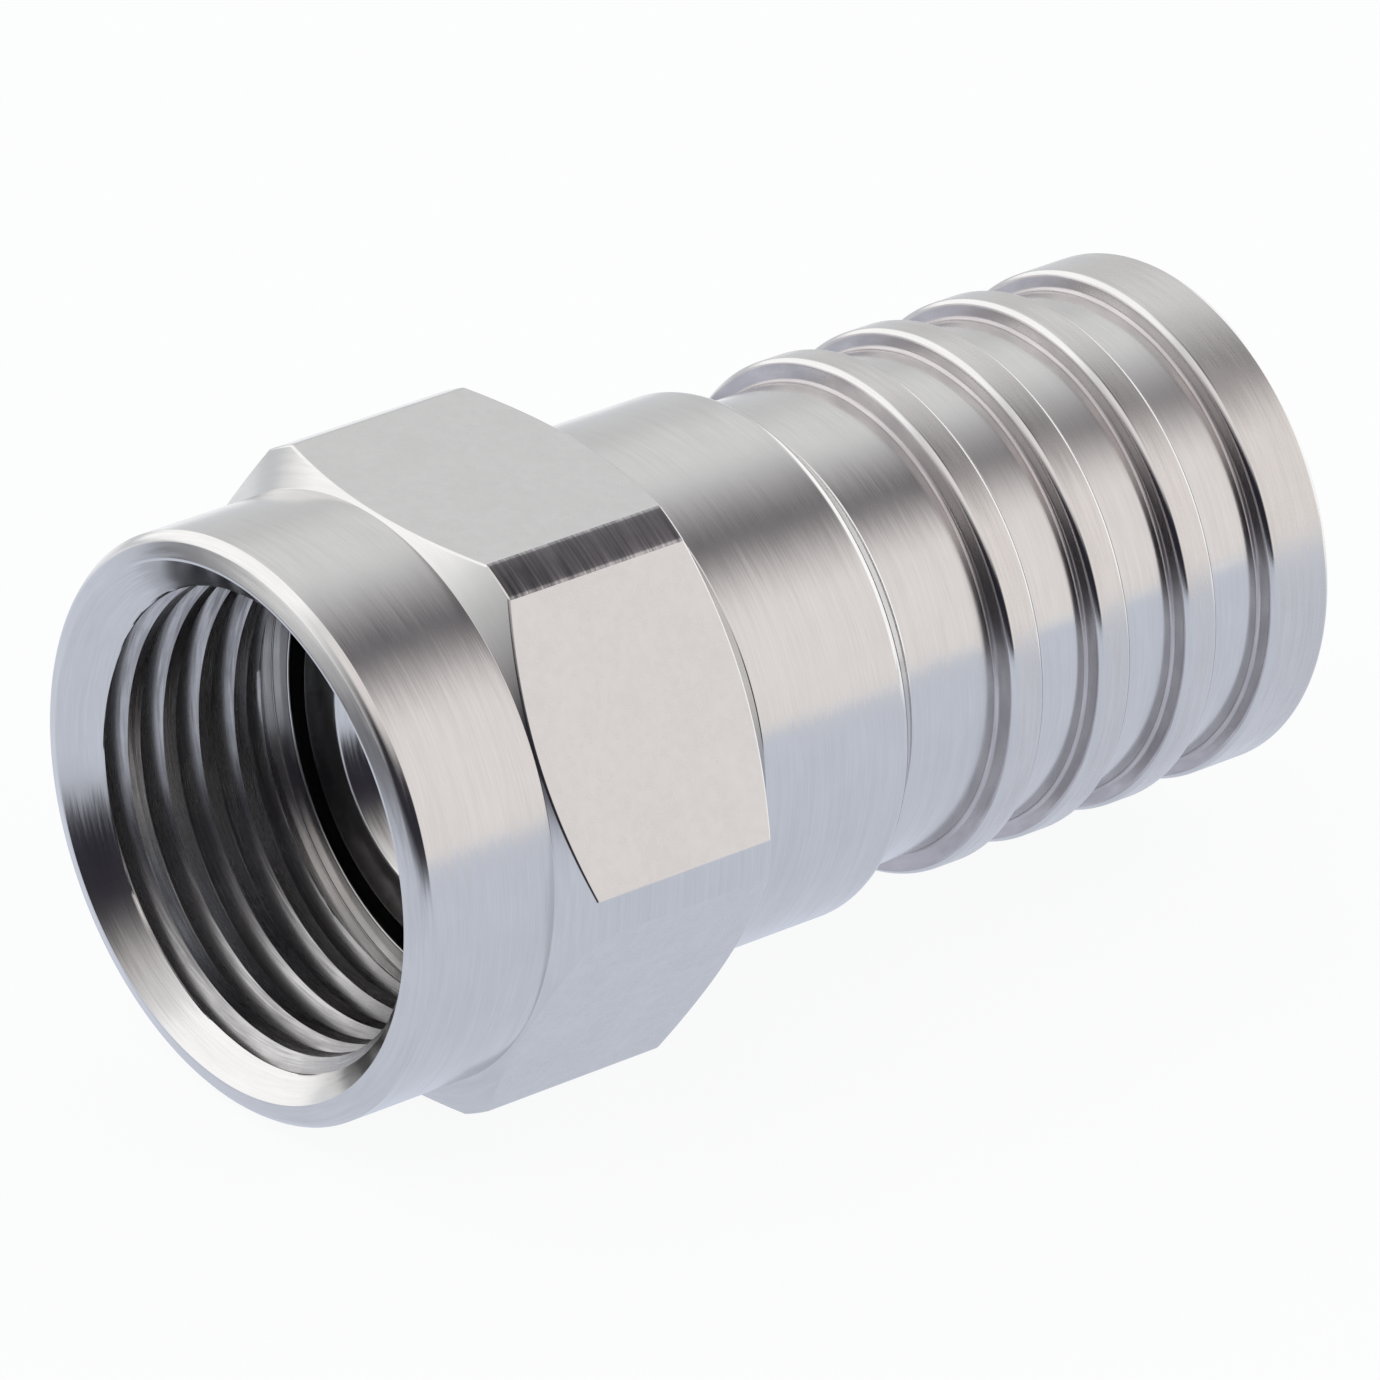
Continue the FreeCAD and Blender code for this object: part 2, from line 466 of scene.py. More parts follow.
@dataclass
class TurnedMesh:
    """A mesh turned from a profile, whose rings remember the corner they came from.

    Attributes:
        steps: Facets around the axis.
        mesh: The mesh being worked on.
    """

    steps: int
    mesh: bmesh.types.BMesh = field(default_factory=bmesh.new)

    def turn(self, corners: list[Corner], closed: bool) -> None:
        """Spin a profile once around the axis.

        Args:
            corners: The profile, in order.
            closed: Whether the last corner joins the first.
        """
        tag = self.mesh.verts.layers.int.new("corner")
        points = []
        for number, corner in enumerate(corners):
            point = self.mesh.verts.new((corner.radius * MM, corner.station * MM, 0.0))
            point[tag] = number
            points.append(point)
        edges = [self.mesh.edges.new(pair) for pair in zip(points, points[1:])]
        if closed:
            edges.append(self.mesh.edges.new((points[-1], points[0])))
        spin_round(self.mesh, points + edges, self.steps)

    def ease_corners(self, corners: list[Corner], skip: frozenset[int] = frozenset()) -> None:
        """Round the rings of the corners that ask for it.

        Args:
            corners: The profile that was turned.
            skip: Numbers of corners that are left sharp.
        """
        tag = self.mesh.verts.layers.int["corner"]
        for size in sorted({(c.ease, c.steps) for c in corners if c.ease > 0.0}):
            numbers = {n for n, c in enumerate(corners) if (c.ease, c.steps) == size} - skip
            rings = [
                e
                for e in self.mesh.edges
                if e.verts[0][tag] == e.verts[1][tag] and e.verts[0][tag] in numbers
            ]
            self.bevel(rings, size[0], size[1])

    def bevel(self, edges: list[bmesh.types.BMEdge], width: float, steps: int) -> None:
        """Round edges.

        Args:
            edges: The edges that are rounded together.
            width: How far the rounding reaches on each side, in millimetres.
            steps: Facets across it.
        """
        bmesh.ops.bevel(
            self.mesh,
            geom=edges,
            offset=width * MM,
            offset_type="OFFSET",
            segments=steps,
            profile=0.5,
            affect="EDGES",
            material=-1,
        )

    def finish(self, name: str, crease: float = 32.0) -> bpy.types.Object:
        """Close the mesh and make its object.

        Args:
            name: Name of the piece.
            crease: Angle between faces past which an edge stays sharp, in degrees.

        Returns:
            The new object, at the origin.
        """
        bmesh.ops.remove_doubles(self.mesh, verts=self.mesh.verts[:], dist=0.0004 * MM)
        bmesh.ops.recalc_face_normals(self.mesh, faces=self.mesh.faces[:])
        data = bpy.data.meshes.new(name)
        self.mesh.to_mesh(data)
        self.mesh.free()
        data.shade_smooth()
        data.set_sharp_from_angle(angle=math.radians(crease))
        piece = bpy.data.objects.new(name, data)
        bpy.context.scene.collection.objects.link(piece)
        self.weigh_normals(piece)
        LOG.info("%s: %d faces", name, len(piece.data.polygons))
        return piece

    def weigh_normals(self, piece: bpy.types.Object) -> None:
        """Keep wide faces flat beside their rounded edges, by weighing normals by face area.

        The mesh is enlarged for this, since faces this small would count as having no area.

        Args:
            piece: The object whose mesh is replaced by the weighted one.
        """
        plain = piece.data
        plain.transform(Matrix.Scale(ENLARGED, 4))
        weighted = piece.modifiers.new("even_faces", "WEIGHTED_NORMAL")
        weighted.mode = "FACE_AREA"
        weighted.keep_sharp = True
        bpy.context.view_layer.update()
        graph = bpy.context.evaluated_depsgraph_get()
        even = bpy.data.meshes.new_from_object(piece.evaluated_get(graph), depsgraph=graph)
        piece.modifiers.clear()
        even.transform(Matrix.Scale(1.0 / ENLARGED, 4))
        piece.data = even
        bpy.data.meshes.remove(plain)
        even.name = piece.name


@dataclass
class CouplingNut:
    """The hexagon coupling nut: collar, turned corners, milled flats and a real screw thread.

    Attributes:
        length: From the rim to the rear face.
        flats: Distance across the flats.
        corner_radius: Radius of the turned corners.
        collar_radius: Radius of the round collar.
        collar_length: Length of the collar.
        slope: Angle of the end chamfers from the end faces, in degrees.
        edge_ease: Rounding along the edges of the flats.
        pitch: Advance of the thread in one turn.
        crest_radius: Radius at the thread's crests.
        root_radius: Radius at the thread's roots.
        crest_flat: Width of the crests.
        front_angle: Lean of the flanks that face the mouth, in degrees.
        rear_angle: Lean of the flanks that face the cable, in degrees.
        first_crest: Place of the first crest on the +X side.
        mouth_radius: Radius where the countersink starts, in the plane of the rim.
        mouth_angle: Slope of the countersink from the axis, in degrees.
        thread_end: Place where the thread runs into the relief groove.
        relief_start: Place where the bore starts to open into the relief groove.
        rows: Rows of faces to each turn of the thread.
        rim_radius: Radius where the rim's front face starts.
        shoulder: Radius and place of the rim's shoulder.
        shoulder_rear: Place where the shoulder meets the collar.
        relief_radius: Radius of the relief groove behind the thread.
        pocket_radius: Radius of the pocket for the post's flange.
        pocket_front: Place where the pocket starts.
        lip_front: Place where the retaining lip starts.
        lip_radius: Radius of the lip's bore.
        lip_chamfer: Size of the chamfer at the lip's rear edge.
        rear_ring: Number of the profile's corner behind the flats.
        front_ring: Number of the profile's corner in front of the flats.
        shaded_turn: Direction of the one corner whose near-black colour is painted shade, in degrees.
        steps: Facets around the axis.
    """

    length: float = 7.65
    flats: float = 11.0
    corner_radius: float = 6.15
    collar_radius: float = 5.45
    collar_length: float = 2.95
    slope: float = 30.0
    edge_ease: float = 0.04
    pitch: float = 25.4 / 32.0
    crest_radius: float = 4.33
    root_radius: float = 4.70
    crest_flat: float = 0.29
    front_angle: float = 35.0
    rear_angle: float = 30.0
    first_crest: float = 0.06
    mouth_radius: float = 4.965
    mouth_angle: float = 45.0
    thread_end: float = 4.55
    relief_start: float = 4.05
    rows: int = 28
    rim_radius: float = 5.005
    shoulder: tuple[float, float] = (5.35, 0.1256)
    shoulder_rear: float = 0.2796
    relief_radius: float = 4.85
    pocket_radius: float = 4.40
    pocket_front: float = 4.75
    lip_front: float = 5.95
    lip_radius: float = 3.58
    lip_chamfer: float = 0.15
    rear_ring: int = 9
    front_ring: int = 10
    shaded_turn: float = 60.0
    steps: int = 288

    def corners(self) -> list[Corner]:
        """Profile from the relief groove round the outside to the start of the countersink."""
        rise = (self.corner_radius - self.collar_radius) * math.tan(math.radians(self.slope))
        return [
            Corner(self.relief_radius - 0.02, self.thread_end),
            Corner(self.relief_radius, self.thread_end + 0.02),
            Corner(self.relief_radius, self.pocket_front, 0.03),
            Corner(self.pocket_radius, self.pocket_front, 0.04),
            Corner(self.pocket_radius, self.lip_front, 0.06),
            Corner(self.lip_radius, self.lip_front, 0.04),
            Corner(self.lip_radius, self.length - self.lip_chamfer, 0.02),
            Corner(self.lip_radius + self.lip_chamfer, self.length, 0.02),
            Corner(self.collar_radius, self.length, 0.02),
            Corner(self.corner_radius, self.length - rise, self.edge_ease, 3),
            Corner(self.corner_radius, self.collar_length + rise, self.edge_ease, 3),
            Corner(self.collar_radius, self.collar_length, 0.012, 2),
            Corner(self.collar_radius, self.shoulder_rear, 0.012, 2),
            Corner(*self.shoulder, 0.085, 4),
            Corner(self.rim_radius, 0.0, 0.015, 2),
            Corner(self.mouth_radius, 0.0),
        ]

    def middle(self, turn: float) -> float:
        """Direction of the flat nearest to a direction, in degrees."""
        return round((turn - 30.0) / 60.0) * 60.0 + 30.0

    def flat_edge(self) -> float:
        """Angle from the middle of a flat to its edge, in degrees."""
        return math.degrees(math.acos(self.flats / 2.0 / self.corner_radius))

    def warp(self, turn: float) -> float:
        """Shift an angle so that a column lies on each edge between a flat and a turned corner.

        Args:
            turn: Angle around the axis, in degrees, as it was spun.

        Returns:
            The angle that the column moves to, in degrees.
        """
        half = 30.0
        edge = self.flat_edge()
        spun_edge = round(edge / (360.0 / self.steps)) * 360.0 / self.steps
        middle = self.middle(turn)
        offset = turn - middle
        size = abs(offset)
        if size <= spun_edge:
            moved = size * edge / spun_edge
        else:
            moved = edge + (size - spun_edge) * (half - edge) / (half - spun_edge)
        return middle + math.copysign(moved, offset)

    def reach(self, turn: float) -> float:
        """Outer radius of the hexagon part in one direction.

        Args:
            turn: Angle around the axis, in degrees.

        Returns:
            The radius in millimetres.
        """
        middle = self.middle(turn)
        return min(self.corner_radius, self.flats / 2.0 / math.cos(math.radians(turn - middle)))

    def warp_columns(self, mesh: bmesh.types.BMesh) -> None:
        """Move every vertex around the axis to its warped angle."""
        for v in mesh.verts:
            turn = turn_of(v.co)
            v.co = Matrix.Rotation(math.radians(turn - self.warp(turn)), 3, "Y") @ v.co

    def mill_flats(self, mesh: bmesh.types.BMesh) -> None:
        """Bring the turned corner rings in to the flats, along the slope of the chamfers."""
        rise = math.tan(math.radians(self.slope))
        tag = mesh.verts.layers.int["corner"]
        for v in mesh.verts:
            if v[tag] not in (self.rear_ring, self.front_ring):
                continue
            radius = self.reach(turn_of(v.co))
            run = (radius - self.collar_radius) * rise
            put(v, radius, self.length - run if v[tag] == self.rear_ring else self.collar_length + run)

    def flat_edges(self, mesh: bmesh.types.BMesh) -> list[bmesh.types.BMEdge]:
        """Edges around the flats and the turned corners.

        Args:
            mesh: The nut's mesh after its flats are milled.

        Returns:
            The rings at both ends of the hexagon and the lines along the edges of the flats.
        """
        tag = mesh.verts.layers.int["corner"]
        edge = self.flat_edge()
        found = []
        rings = (self.rear_ring, self.front_ring)
        for e in mesh.edges:
            first, second = (v[tag] for v in e.verts)
            if first not in rings or second not in rings:
                continue
            if first == second:
                found.append(e)
                continue
            turn = turn_of(e.verts[0].co)
            offset = abs(turn - self.middle(turn))
            if abs(offset - edge) < 0.1:
                found.append(e)
        return found

    def thread_radius(self, share: float) -> float:
        """Radius of the thread's surface.

        Args:
            share: Place within one turn's advance, from 0 to 1, with the crest at 0.

        Returns:
            The radius in millimetres.
        """
        half = self.crest_flat / 2.0
        behind = (share % 1.0) * self.pitch
        down = (behind - half) / math.tan(math.radians(self.rear_angle))
        up = (self.pitch - half - behind) / math.tan(math.radians(self.front_angle))
        depth = max(0.0, min(down, up, self.root_radius - self.crest_radius))
        return self.crest_radius + depth

    def cut_thread(self, mesh: bmesh.types.BMesh) -> None:
        """Screw the thread through the bore, from the countersink to the relief groove.

        Args:
            mesh: The mesh that the thread joins.
        """
        turns = math.ceil(self.thread_end / self.pitch) + 2
        start = self.first_crest - self.pitch
        # Over the last 27 degrees of the spin the surface starts behind the rim's plane, which
        # leaves a slit up to 0.06 mm wide at the mouth. One more turn in front would close it.
        thread = bmesh.new()
        points = []
        for number in range(turns * self.rows + 1):
            station = start + number * self.pitch / self.rows
            radius = self.thread_radius(number / self.rows)
            points.append(thread.verts.new((radius * MM, station * MM, 0.0)))
        edges = [thread.edges.new(pair) for pair in zip(points, points[1:])]
        spin_round(thread, points + edges, self.steps, self.pitch)
        for v in thread.verts:
            self.open_ends(v)
        bmesh.ops.remove_doubles(thread, verts=thread.verts[:], dist=0.0004 * MM)
        data = bpy.data.meshes.new("thread")
        thread.to_mesh(data)
        thread.free()
        mesh.from_mesh(data)
        bpy.data.meshes.remove(data)

    def sink_radius(self, station: float) -> float:
        """Radius of the countersink at a place along the axis, in millimetres."""
        return self.mouth_radius - station * math.tan(math.radians(self.mouth_angle))

    def open_ends(self, vertex: bmesh.types.BMVert) -> None:
        """Clear the thread where the countersink and the relief groove cut it away."""
        station = min(self.thread_end, max(0.0, vertex.co.y / MM))
        radius = math.hypot(vertex.co.x, vertex.co.z) / MM
        relief = self.crest_radius + station - self.relief_start
        radius = max(radius, self.sink_radius(station), relief)
        put(vertex, radius, station)

    def build(self) -> bpy.types.Object:
        """Model the nut and dress it.

        Returns:
            The finished piece.
        """
        corners = self.corners()
        turned = TurnedMesh(self.steps)
        turned.turn(corners, closed=False)
        self.cut_thread(turned.mesh)
        self.warp_columns(turned.mesh)
        self.mill_flats(turned.mesh)
        turned.ease_corners(corners, frozenset((self.rear_ring, self.front_ring)))
        turned.bevel(self.flat_edges(turned.mesh), self.edge_ease, 3)
        piece = turned.finish("nut_with_thread")
        # Painted shade: near-black colour in the marks of the one corner that faces the slot overhead; its
        # coarser streaks are turning marks.
        shaded_corner = TurnedNickel(
            "nut_painted_shade_corner",
            colour=(0.500, 0.488, 0.498),
            groove_colour=(0.120, 0.115, 0.122),
            line_width=0.060,
            line_length=2.5,
        )
        for material in nickel_set("nut", worn_or_shaded=shaded_corner):
            piece.data.materials.append(material)
        self.shade_faces(piece.data)
        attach(piece, Body.NUT.value)
        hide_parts("coupling_nut")
        return piece

    def shade_faces(self, data: bpy.types.Mesh) -> None:
        """Give the flats, the chamfers and the thread their own finish, with painted shade on one corner
        and in the thread.
        """
        for face in data.polygons:
            outward = Vector((face.center.x, 0.0, face.center.z))
            radius = outward.length / MM
            station = face.center.y / MM
            turn = turn_of(outward)
            middle = math.radians(self.middle(turn))
            normal = Vector((math.cos(middle), 0.0, math.sin(middle)))
            on_flat = abs(face.center.dot(normal) - self.flats / 2.0 * MM) < 0.001 * MM
            in_bore = self.sink_radius(station) + 0.01 < radius < self.root_radius + 0.01
            if face.normal.dot(normal) > 0.9999 and on_flat:
                face.material_index = Shade.MILLED.value
            elif radius > self.collar_radius + 0.01 and abs(face.normal.y) > 0.3:
                face.material_index = Shade.SMOOTH.value
            # Painted shade on the one corner that faces the slot overhead.
            elif radius > self.corner_radius - 0.02 and abs(turn - self.shaded_turn) < 10.0:
                face.material_index = Shade.WORN_OR_SHADED.value
            # The thread inside the bore takes the finish with painted shade.
            elif in_bore and station < self.thread_end:
                face.material_index = Shade.ROUGH_AND_SHADED.value


@dataclass
class InnerPost:
    """The tubular post with its flange and barbed tail.

    Attributes:
        bore_radius: Radius of the bore.
        mouth_flare: Size of the flare at the front of the bore.
        flange_radius: Radius of the flange.
        flange_front: Place of the flange's front face.
        flange_rear: Place of the flange's rear face.
        flange_chamfer: Size of the chamfer at the flange's front edge.
        neck_radius: Radius of the neck that the nut turns on.
        seat_radius: Radius of the press seat.
        seat_front: Place where the press seat starts.
        seat_end: Place where the press seat ends.
        tail_radius: Radius of the tail between its barbs.
        barb_radius: Radius of the barbs' tips.
        first_barb: Place of the first barb.
        barb_pitch: Distance between barbs.
        barb_count: Number of barbs.
        tip_radius: Outer radius of the tail's end.
        steps: Facets around the axis.
    """

    bore_radius: float = 2.45
    mouth_flare: float = 0.65
    flange_radius: float = 4.10
    flange_front: float = 4.80
    flange_rear: float = 5.85
    flange_chamfer: float = 0.12
    neck_radius: float = 3.50
    seat_radius: float = 3.20
    seat_front: float = 7.95
    seat_end: float = 11.00
    tail_radius: float = 2.75
    barb_radius: float = 2.95
    first_barb: float = 17.00
    barb_pitch: float = 1.30
    barb_count: int = 3
    tip_radius: float = 2.60
    steps: int = 224

    def corners(self) -> list[Corner]:
        """Profile from the mouth of the bore round the outside to the tail."""
        tail_front = self.seat_end + self.seat_radius - self.tail_radius
        tail_end = self.first_barb + self.barb_count * self.barb_pitch
        outline = [
            Corner(self.bore_radius, self.flange_front + self.mouth_flare, 0.04),
            Corner(self.bore_radius + self.mouth_flare, self.flange_front, 0.05),
            Corner(self.flange_radius - self.flange_chamfer, self.flange_front, 0.02),
            Corner(self.flange_radius, self.flange_front + self.flange_chamfer, 0.02),
            Corner(self.flange_radius, self.flange_rear, 0.03),
            Corner(self.neck_radius, self.flange_rear, 0.04),
            Corner(self.neck_radius, self.seat_front, 0.02),
            Corner(self.seat_radius, self.seat_front),
            Corner(self.seat_radius, self.seat_end, 0.02),
            Corner(self.tail_radius, tail_front, 0.05),
        ]
        for number in range(self.barb_count):
            barb = self.first_barb + number * self.barb_pitch
            outline.append(Corner(self.tail_radius, barb, 0.03))
            outline.append(Corner(self.barb_radius, barb, 0.015))
        outline.append(Corner(self.tip_radius, tail_end, 0.02))
        outline.append(Corner(self.bore_radius, tail_end, 0.02))
        return outline

    def build(self) -> bpy.types.Object:
        """Model the post and dress it.

        Returns:
            The finished piece.
        """
        corners = self.corners()
        turned = TurnedMesh(self.steps)
        turned.turn(corners, closed=True)
        turned.ease_corners(corners)
        piece = turned.finish("flanged_post")
        piece.data.materials.append(TurnedNickel("post_turned_nickel").material())
        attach(piece, Body.SLEEVE.value)
        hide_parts("inner_post")
        return piece


@dataclass
class CrimpSleeve:
    """The crimp body: collar band, neck, bevelled square ribs and end band.

    Attributes:
        neck_radius: Radius of the neck.
        rib_radius: Radius of the rib lands.
        groove_radius: Radius of the groove floors at their rear ends.
        groove_rise: How much higher the floors are at their front ends.
        first_rib: Place where the first rib's land starts.
        rib_count: Number of ribs.
        rib_pitch: Distance between ribs.
        rib_land: Length of the level top of a rib.
        bevel: Size of the bevels along a land's edges.
        face_run: How far the foot of a rib's side reaches past its bevel.
        seat_radius: Radius of the press seat on the post.
        bore_radius: Radius of the barrel's bore.
        band_radius: Radius of the band behind the nut.
        front: Place of the front face.
        front_chamfer: Size of the chamfer at the band's front edge.
        band_end: Place where the band's level part ends.
        seat_end: Place where the press seat ends.
        length_end: Place of the rear face.
        end_chamfer: Size of the chamfer at the rear edge.
        mouth_chamfer: Size of the chamfer at the mouth of the barrel's bore.
        steps: Facets around the axis.
    """

    neck_radius: float = 4.44
    rib_radius: float = 4.86
    groove_radius: float = 4.50
    groove_rise: float = 0.0437
    first_rib: float = 14.035
    rib_count: int = 3
    rib_pitch: float = 2.07
    rib_land: float = 0.60
    bevel: float = 0.085
    face_run: float = 0.025
    seat_radius: float = 3.20
    bore_radius: float = 4.00
    band_radius: float = 4.95
    front: float = 7.95
    front_chamfer: float = 0.20
    band_end: float = 11.40
    seat_end: float = 11.00
    length_end: float = 21.60
    end_chamfer: float = 0.12
    mouth_chamfer: float = 0.25
    steps: int = 288

    def rib_side(self, floor: float, land_edge: float, outward: float) -> list[Corner]:
        """Corners of one side of a rib.

        Args:
            floor: Radius at the foot of the side.
            land_edge: Place where the land starts or ends.
            outward: -1 for the side that faces the mouth and 1 for the side that faces the cable.

        Returns:
            The corners, from the edge of the land down to the floor.
        """
        below = land_edge + outward * self.bevel
        return [
            Corner(self.rib_radius, land_edge, 0.045, 4),
            Corner(self.rib_radius - self.bevel, below, 0.040, 4),
            Corner(floor, below + outward * self.face_run, 0.085, 5),
        ]

    def corners(self) -> list[Corner]:
        """Profile from the seat on the post round the outside and back through the bore."""
        neck_start = self.band_end + self.band_radius - self.neck_radius
        step_end = self.seat_end + self.bore_radius - self.seat_radius
        outline = [
            Corner(self.seat_radius, self.front),
            Corner(self.band_radius - self.front_chamfer, self.front, 0.02),
            Corner(self.band_radius, self.front + self.front_chamfer, 0.02, 2),
            Corner(self.band_radius, self.band_end, 0.11, 5),
            Corner(self.neck_radius, neck_start, 0.06),
        ]
        floor = self.neck_radius
        for number in range(self.rib_count):
            land = self.first_rib + number * self.rib_pitch
            outline += reversed(self.rib_side(floor, land, -1.0))
            outline += self.rib_side(self.groove_radius + self.groove_rise, land + self.rib_land, 1.0)
            floor = self.groove_radius
        outline += reversed(self.rib_side(floor, self.first_rib + self.rib_count * self.rib_pitch, -1.0))
        outline += [
            Corner(self.rib_radius, self.length_end - self.end_chamfer, 0.05, 4),
            Corner(self.rib_radius - self.end_chamfer, self.length_end, 0.04, 4),
            Corner(self.bore_radius + self.mouth_chamfer, self.length_end, 0.02),
            Corner(self.bore_radius, self.length_end - self.mouth_chamfer, 0.03),
            Corner(self.bore_radius, step_end, 0.03),
            Corner(self.seat_radius, self.seat_end),
        ]
        return outline

    def build(self) -> bpy.types.Object:
        """Model the sleeve and dress it.

        Returns:
            The finished piece.
        """
        corners = self.corners()
        turned = TurnedMesh(self.steps)
        turned.turn(corners, closed=True)
        turned.ease_corners(corners)
        piece = turned.finish("ribbed_sleeve")
        # Painted shade: a darker colour on the ribs' sides and feet, in the creases; the higher roughness
        # is real.
        shaded_rib_foot = TurnedNickel(
            "sleeve_rib_foot",
            colour=(0.560, 0.532, 0.532),
            groove_colour=(0.420, 0.395, 0.405),
            smoothest=0.24,
            roughest=0.34,
        )
        for material in nickel_set("sleeve", rough_and_shaded=shaded_rib_foot):
            piece.data.materials.append(material)
        self.shade_faces(piece.data)
        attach(piece, Body.SLEEVE.value)
        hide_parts("crimp_body")
        return piece

    def shade_faces(self, data: bpy.types.Mesh) -> None:
        """Give the bevels, the groove floors and the lands their own finish, and the ribs' sides and feet
        their painted shade.
        """
        last_land = self.first_rib + self.rib_count * self.rib_pitch
        for face in data.polygons:
            radius = math.hypot(face.center.x, face.center.z) / MM
            behind_neck = face.center.y / MM > self.first_rib - 0.2
            by_rib = behind_neck and face.center.y / MM < last_land
            below_bevel = self.neck_radius < radius < self.rib_radius - self.bevel + 0.01
            # Painted shade in the creases at the ribs' sides and feet.
            if by_rib and below_bevel and abs(face.normal.y) > 0.1:
                face.material_index = Shade.ROUGH_AND_SHADED.value
            elif abs(face.normal.y) > 0.1:
                face.material_index = Shade.SMOOTH.value
            elif behind_neck and radius > self.rib_radius - 0.02:
                face.material_index = Shade.WORN_OR_SHADED.value
            elif behind_neck and radius > self.neck_radius:
                face.material_index = Shade.SMOOTH.value


@dataclass(frozen=True)
class Viewpoint:
    """The camera, at the photograph's viewing angle.

    Attributes:
        aim: Point that the camera looks at, in metres.
        azimuth: Direction round the object, in degrees, with 0 in front of the mouth.
        elevation: Height above the horizon, in degrees.
        roll: Turn of the picture, in degrees.
        distance: Distance from the aim, in metres.
        lens: Focal length for a 36 mm wide sensor.
    """

    aim: tuple[float, float, float] = (0.000192, 0.010332, -0.000269)
    azimuth: float = 49.214
    elevation: float = 28.490
    roll: float = 2.818
    distance: float = 0.227357
    lens: float = 330.6

    def place(self) -> bpy.types.Object:
        """Make the camera and use it for the scene.

        Returns:
            The camera object.
        """
        data = bpy.data.cameras.new("studio_camera")
        data.lens = self.lens
        data.sensor_width = 36.0
        data.clip_start = 0.01
        data.clip_end = 10.0
        camera = bpy.data.objects.new("studio_camera", data)
        bpy.context.scene.collection.objects.link(camera)
        turn, climb = math.radians(self.azimuth), math.radians(self.elevation)
        level = math.cos(climb)
        back = Vector((math.sin(turn) * level, -math.cos(turn) * level, math.sin(climb)))
        look = (-back).to_track_quat("-Z", "Y").to_matrix()
        facing = look @ Matrix.Rotation(math.radians(self.roll), 3, "Z")
        camera.matrix_world = Matrix.Translation(Vector(self.aim) + back * self.distance) @ facing.to_4x4()
        bpy.context.scene.camera = camera
        return camera


